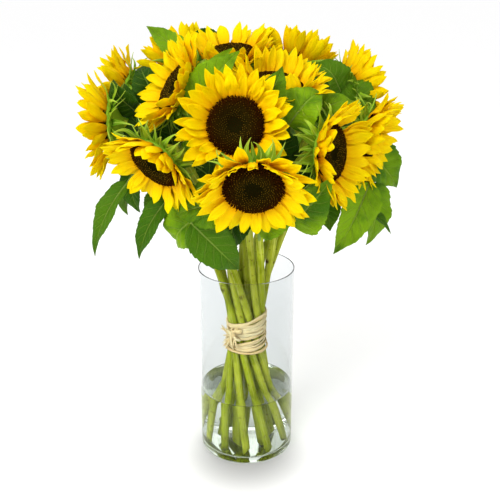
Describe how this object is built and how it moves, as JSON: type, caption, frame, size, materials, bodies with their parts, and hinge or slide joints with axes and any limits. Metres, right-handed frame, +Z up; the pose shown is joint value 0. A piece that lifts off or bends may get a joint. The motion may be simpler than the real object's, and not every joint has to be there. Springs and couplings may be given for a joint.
{
  "type": "bouquet in a vase",
  "caption": "Hand-tied bouquet of sunflowers standing in water in a clear straight glass cylinder vase.",
  "frame": {"origin": "middle of the vase's flat underside", "axes": "+Z up along the vase, -Y to the side the bouquet is seen from, +X to that viewer's right"},
  "size_m": [0.3869, 0.399, 0.5378],
  "materials": {
    "glass": "clear polished glass",
    "water": "clear water with a faint green tint",
    "raffia": "dry matt plant fibre",
    "green": "fresh leaf and stem, satin with paler veins",
    "petal": "soft satin petal, deeper gold at the base",
    "seed_disc": "matt dense florets with a dark green middle"
  },
  "bodies": {
    "root": {"vase": "glass", "water": "water", "raffia_tie": "raffia", "stem_01": "green", "petals_01": "petal", "disc_01": "seed_disc", "stem_02": "green", "petals_02": "petal", "disc_02": "seed_disc", "stem_03": "green", "petals_03": "petal", "disc_03": "seed_disc", "stem_04": "green", "petals_04": "petal", "disc_04": "seed_disc", "stem_05": "green", "petals_05": "petal", "disc_05": "seed_disc", "stem_06": "green", "petals_06": "petal", "disc_06": "seed_disc", "stem_07": "green", "petals_07": "petal", "disc_07": "seed_disc", "stem_08": "green", "petals_08": "petal", "disc_08": "seed_disc", "stem_09": "green", "petals_09": "petal", "disc_09": "seed_disc", "stem_10": "green", "petals_10": "petal", "disc_10": "seed_disc", "stem_11": "green", "petals_11": "petal", "disc_11": "seed_disc", "stem_12": "green", "petals_12": "petal", "disc_12": "seed_disc", "stem_13": "green", "petals_13": "petal", "disc_13": "seed_disc", "stem_14": "green", "petals_14": "petal", "disc_14": "seed_disc", "stem_15": "green", "petals_15": "petal", "disc_15": "seed_disc", "stem_16": "green", "petals_16": "petal", "disc_16": "seed_disc"}
  },
  "joints": []
}
